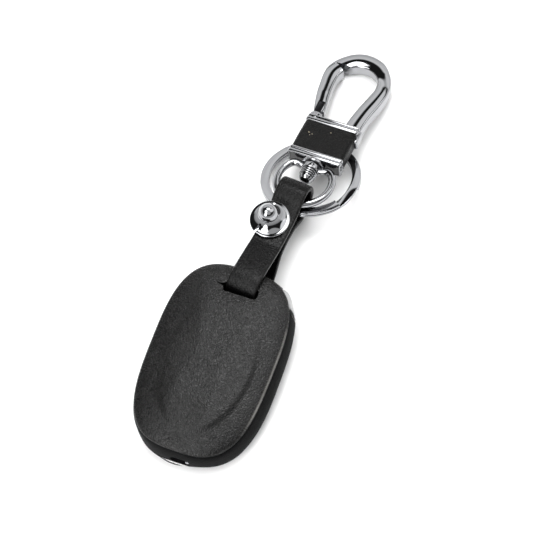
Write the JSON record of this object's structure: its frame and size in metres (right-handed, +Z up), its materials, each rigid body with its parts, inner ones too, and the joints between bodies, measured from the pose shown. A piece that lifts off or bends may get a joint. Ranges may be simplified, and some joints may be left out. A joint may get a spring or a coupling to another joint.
{
  "type": "key fob cover",
  "caption": "Moulded leather cover for a car key remote, with a leather strap, chrome ball stud, flat split key ring and swivel snap hook.",
  "frame": {"origin": "bottom centre of the whole object as it lies, on the surface it rests on", "axes": "+Y along the cover towards the hook, +X to the right when the cover back faces up, +Z up through the cover back"},
  "size_m": [0.0493, 0.1684, 0.0244],
  "materials": {
    "cover_leather": "black moulded fine-grain leather, semi-matt",
    "strap_leather": "black smooth fine-grain leather with painted edges",
    "wrap_leather": "black fine-grain leather",
    "chrome": "polished chrome plate",
    "steel": "bright steel",
    "satin_metal": "satin silver",
    "remote_plastic": "gloss black",
    "button_rubber": "matt black",
    "mat_rubber": "grey silicone",
    "board": "green circuit board"
  },
  "bodies": {
    "cover": {"back_shell": "cover_leather", "front_shell": "cover_leather", "remote_back_case": "remote_plastic", "remote_front_case": "remote_plastic", "remote_shoulder": "satin_metal", "remote_loop": "chrome", "circuit_board": "board", "button_mat": "mat_rubber", "strap_lower": "strap_leather"},
    "lock_button": {"lock_button": "button_rubber"},
    "unlock_button": {"unlock_button": "button_rubber"},
    "trunk_button": {"trunk_button": "button_rubber"},
    "strap": {"strap_upper": "strap_leather", "stud_head": "chrome", "stud_post": "steel", "stud_back": "chrome"},
    "key_ring": {"key_ring": "chrome"},
    "swivel_ring": {"swivel_ring": "chrome"},
    "hook": {"hook_body": "chrome", "leather_wrap": "wrap_leather", "end_frame": "chrome", "swivel_pin": "chrome", "swivel_washer": "chrome", "gate_pin": "steel", "gate_spring": "steel"},
    "gate": {"gate": "chrome"}
  },
  "joints": [
    {"name": "strap_bend", "type": "hinge", "parent": "cover", "child": "strap", "pos_m": [0.00207, -0.00382, 0.0117], "axis": [0.994, -0.1097, 0], "range_deg": [-45, 60], "deforming": ["strap_lower"]},
    {"name": "key_ring_swing", "type": "hinge", "parent": "strap", "child": "key_ring", "pos_m": [0.00392, 0.01288, 0.0104], "axis": [0.994, -0.1097, 0], "range_deg": [-20, 0]},
    {"name": "swivel_ring_swing", "type": "hinge", "parent": "strap", "child": "swivel_ring", "pos_m": [0.00521, 0.01429, 0.01351], "axis": [0.9948, -0.0664, 0.0776], "range_deg": [0, 50]},
    {"name": "hook_swivel", "type": "hinge", "parent": "swivel_ring", "child": "hook", "pos_m": [0.00673, 0.0336, 0.01055], "axis": [0.0776, 0.9854, -0.1513], "range_deg": [-14, 9]},
    {"name": "gate_open", "type": "hinge", "parent": "hook", "child": "gate", "pos_m": [0.00055, 0.05165, 0.00727], "axis": [-0.0664, 0.1565, 0.9854], "range_deg": [-32, 0], "stiffness_Nm_per_rad": 0.02},
    {"name": "lock_press", "type": "slide", "parent": "cover", "child": "lock_button", "axis": [0, 0, 1], "range_m": [0, 0.0004], "stiffness_N_per_m": 300},
    {"name": "unlock_press", "type": "slide", "parent": "cover", "child": "unlock_button", "axis": [0, 0, 1], "range_m": [0, 0.0004], "stiffness_N_per_m": 300},
    {"name": "trunk_press", "type": "slide", "parent": "cover", "child": "trunk_button", "axis": [0, 0, 1], "range_m": [0, 0.0004], "stiffness_N_per_m": 300}
  ]
}
